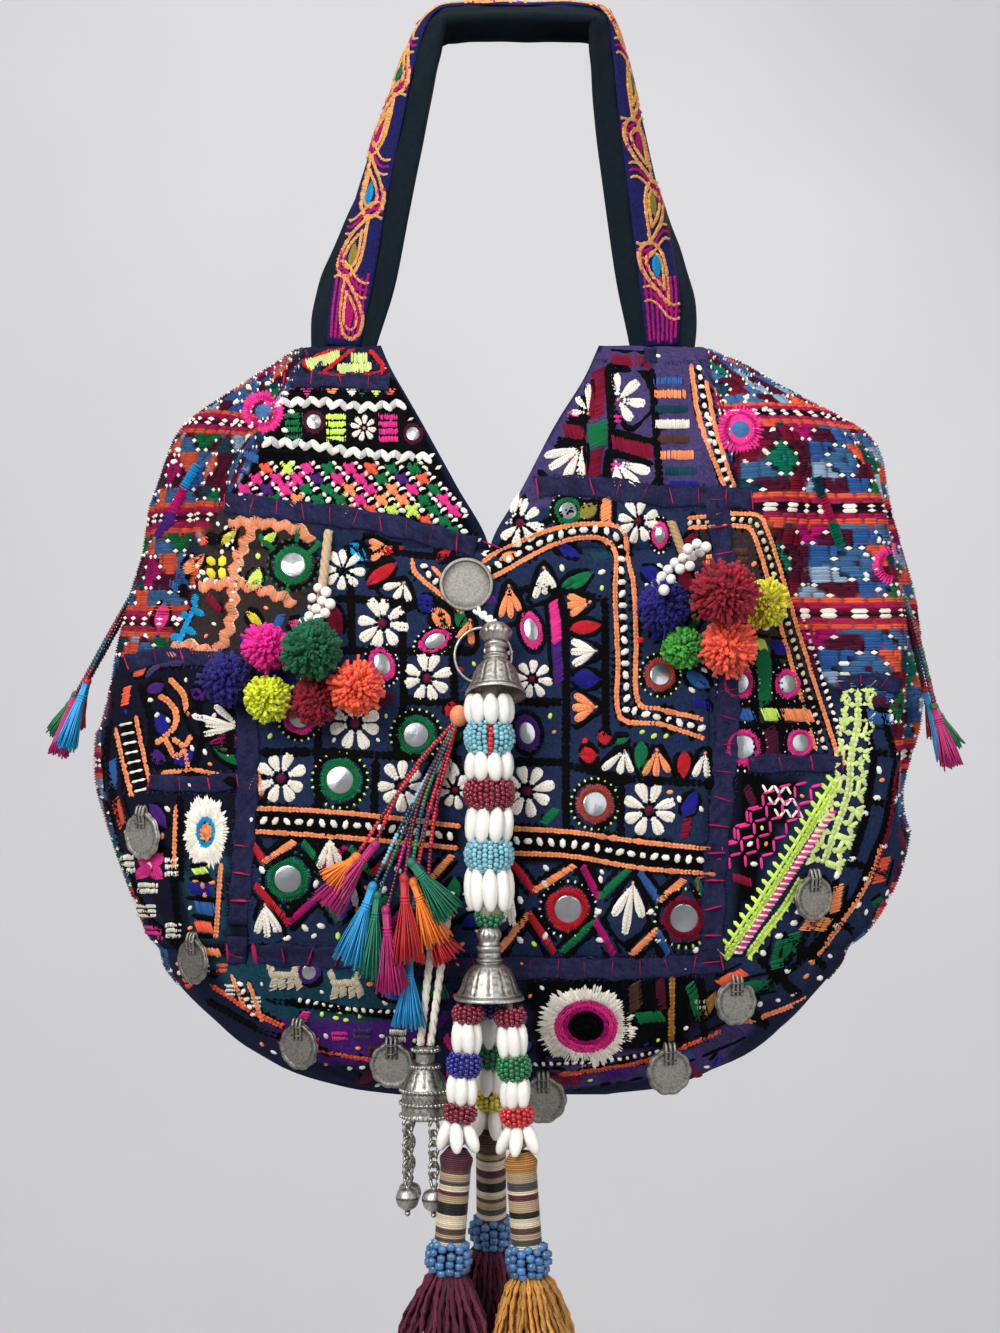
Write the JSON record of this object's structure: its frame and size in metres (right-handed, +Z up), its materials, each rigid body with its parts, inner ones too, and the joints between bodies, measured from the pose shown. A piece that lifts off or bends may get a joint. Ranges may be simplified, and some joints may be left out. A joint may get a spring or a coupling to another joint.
{
  "type": "embroidered hobo bag",
  "caption": "Hanging patchwork hobo shoulder bag with a V-neck, embroidered walls, a wide strap, a beaded bell drop, coins, pompoms and tassels.",
  "frame": {"origin": "middle of the inner face of the strap's top, where it lies on a hook", "axes": "+Z up along the pull, -Y towards the front with the beaded drop, +X to the right in the picture"},
  "size_m": [0.4518, 0.1665, 0.6926],
  "materials": {
    "patchwork": "hand-embroidered cotton patches",
    "yoke_cloth": "hand-embroidered cotton",
    "counted_thread": "dense counted-thread embroidery",
    "strap_cloth": "plain dark teal cotton",
    "strap_embroidery": "chain-stitched strip",
    "old_silver": "worn white metal",
    "coin_metal": "worn grey coin metal",
    "beads": "white oval beads with coloured seed-bead rings",
    "cotton": "white cotton cord",
    "wrapped_thread": "thread-wrapped handle with a bead collar",
    "yarn_maroon": "wool yarn",
    "yarn_ochre": "wool yarn",
    "yarn_pink": "wool pile",
    "yarn_green": "wool pile",
    "yarn_navy": "wool pile",
    "yarn_lime": "wool pile",
    "yarn_crimson": "wool pile",
    "yarn_coral": "wool pile",
    "yarn_yellow": "wool pile",
    "yarn_grass": "wool pile",
    "silk_thread": "silky thread of many colours on seed-bead strings"
  },
  "bodies": {
    "root": {"front_panel": "patchwork", "back_panel": "patchwork", "bottom_panel": "patchwork", "front_left_yoke": "yoke_cloth", "front_right_yoke": "yoke_cloth", "back_left_yoke": "yoke_cloth", "back_right_yoke": "yoke_cloth", "left_side_panel": "counted_thread", "right_side_panel": "counted_thread", "shoulder_strap": "strap_cloth", "strap_trim": "strap_embroidery", "split_ring": "old_silver", "upper_bell": "old_silver", "lower_bell": "old_silver", "jhumka_bell": "old_silver", "front_ball_drop": "old_silver", "side_ball_drop": "old_silver", "rear_ball_drop": "old_silver", "coin_button": "coin_metal", "far_left_coin": "coin_metal", "low_left_coin": "coin_metal", "base_left_coin": "coin_metal", "rear_drop_coin": "coin_metal", "middle_coin": "coin_metal", "base_right_coin": "coin_metal", "low_right_coin": "coin_metal", "far_right_coin": "coin_metal", "upper_bead_strand": "beads", "left_bead_strand": "beads", "right_bead_strand": "beads", "rear_bead_strand": "beads", "button_loop": "cotton", "left_jhumka_cord": "cotton", "right_jhumka_cord": "cotton", "left_pompom_stem": "cotton", "right_pompom_stem": "cotton", "left_wrapped_handle": "wrapped_thread", "right_wrapped_handle": "wrapped_thread", "rear_wrapped_handle": "wrapped_thread", "left_yarn_tassel": "yarn_maroon", "rear_yarn_tassel": "yarn_maroon", "right_yarn_tassel": "yarn_ochre", "left_pink_pompom": "yarn_pink", "left_green_pompom": "yarn_green", "left_navy_pompom": "yarn_navy", "right_navy_pompom": "yarn_navy", "left_lime_pompom": "yarn_lime", "left_crimson_pompom": "yarn_crimson", "right_crimson_pompom": "yarn_crimson", "left_coral_pompom": "yarn_coral", "right_coral_pompom": "yarn_coral", "right_yellow_pompom": "yarn_yellow", "right_grass_pompom": "yarn_grass", "tassel_bunch": "silk_thread", "left_side_tassels": "silk_thread", "right_side_tassels": "silk_thread"}
  },
  "joints": []
}
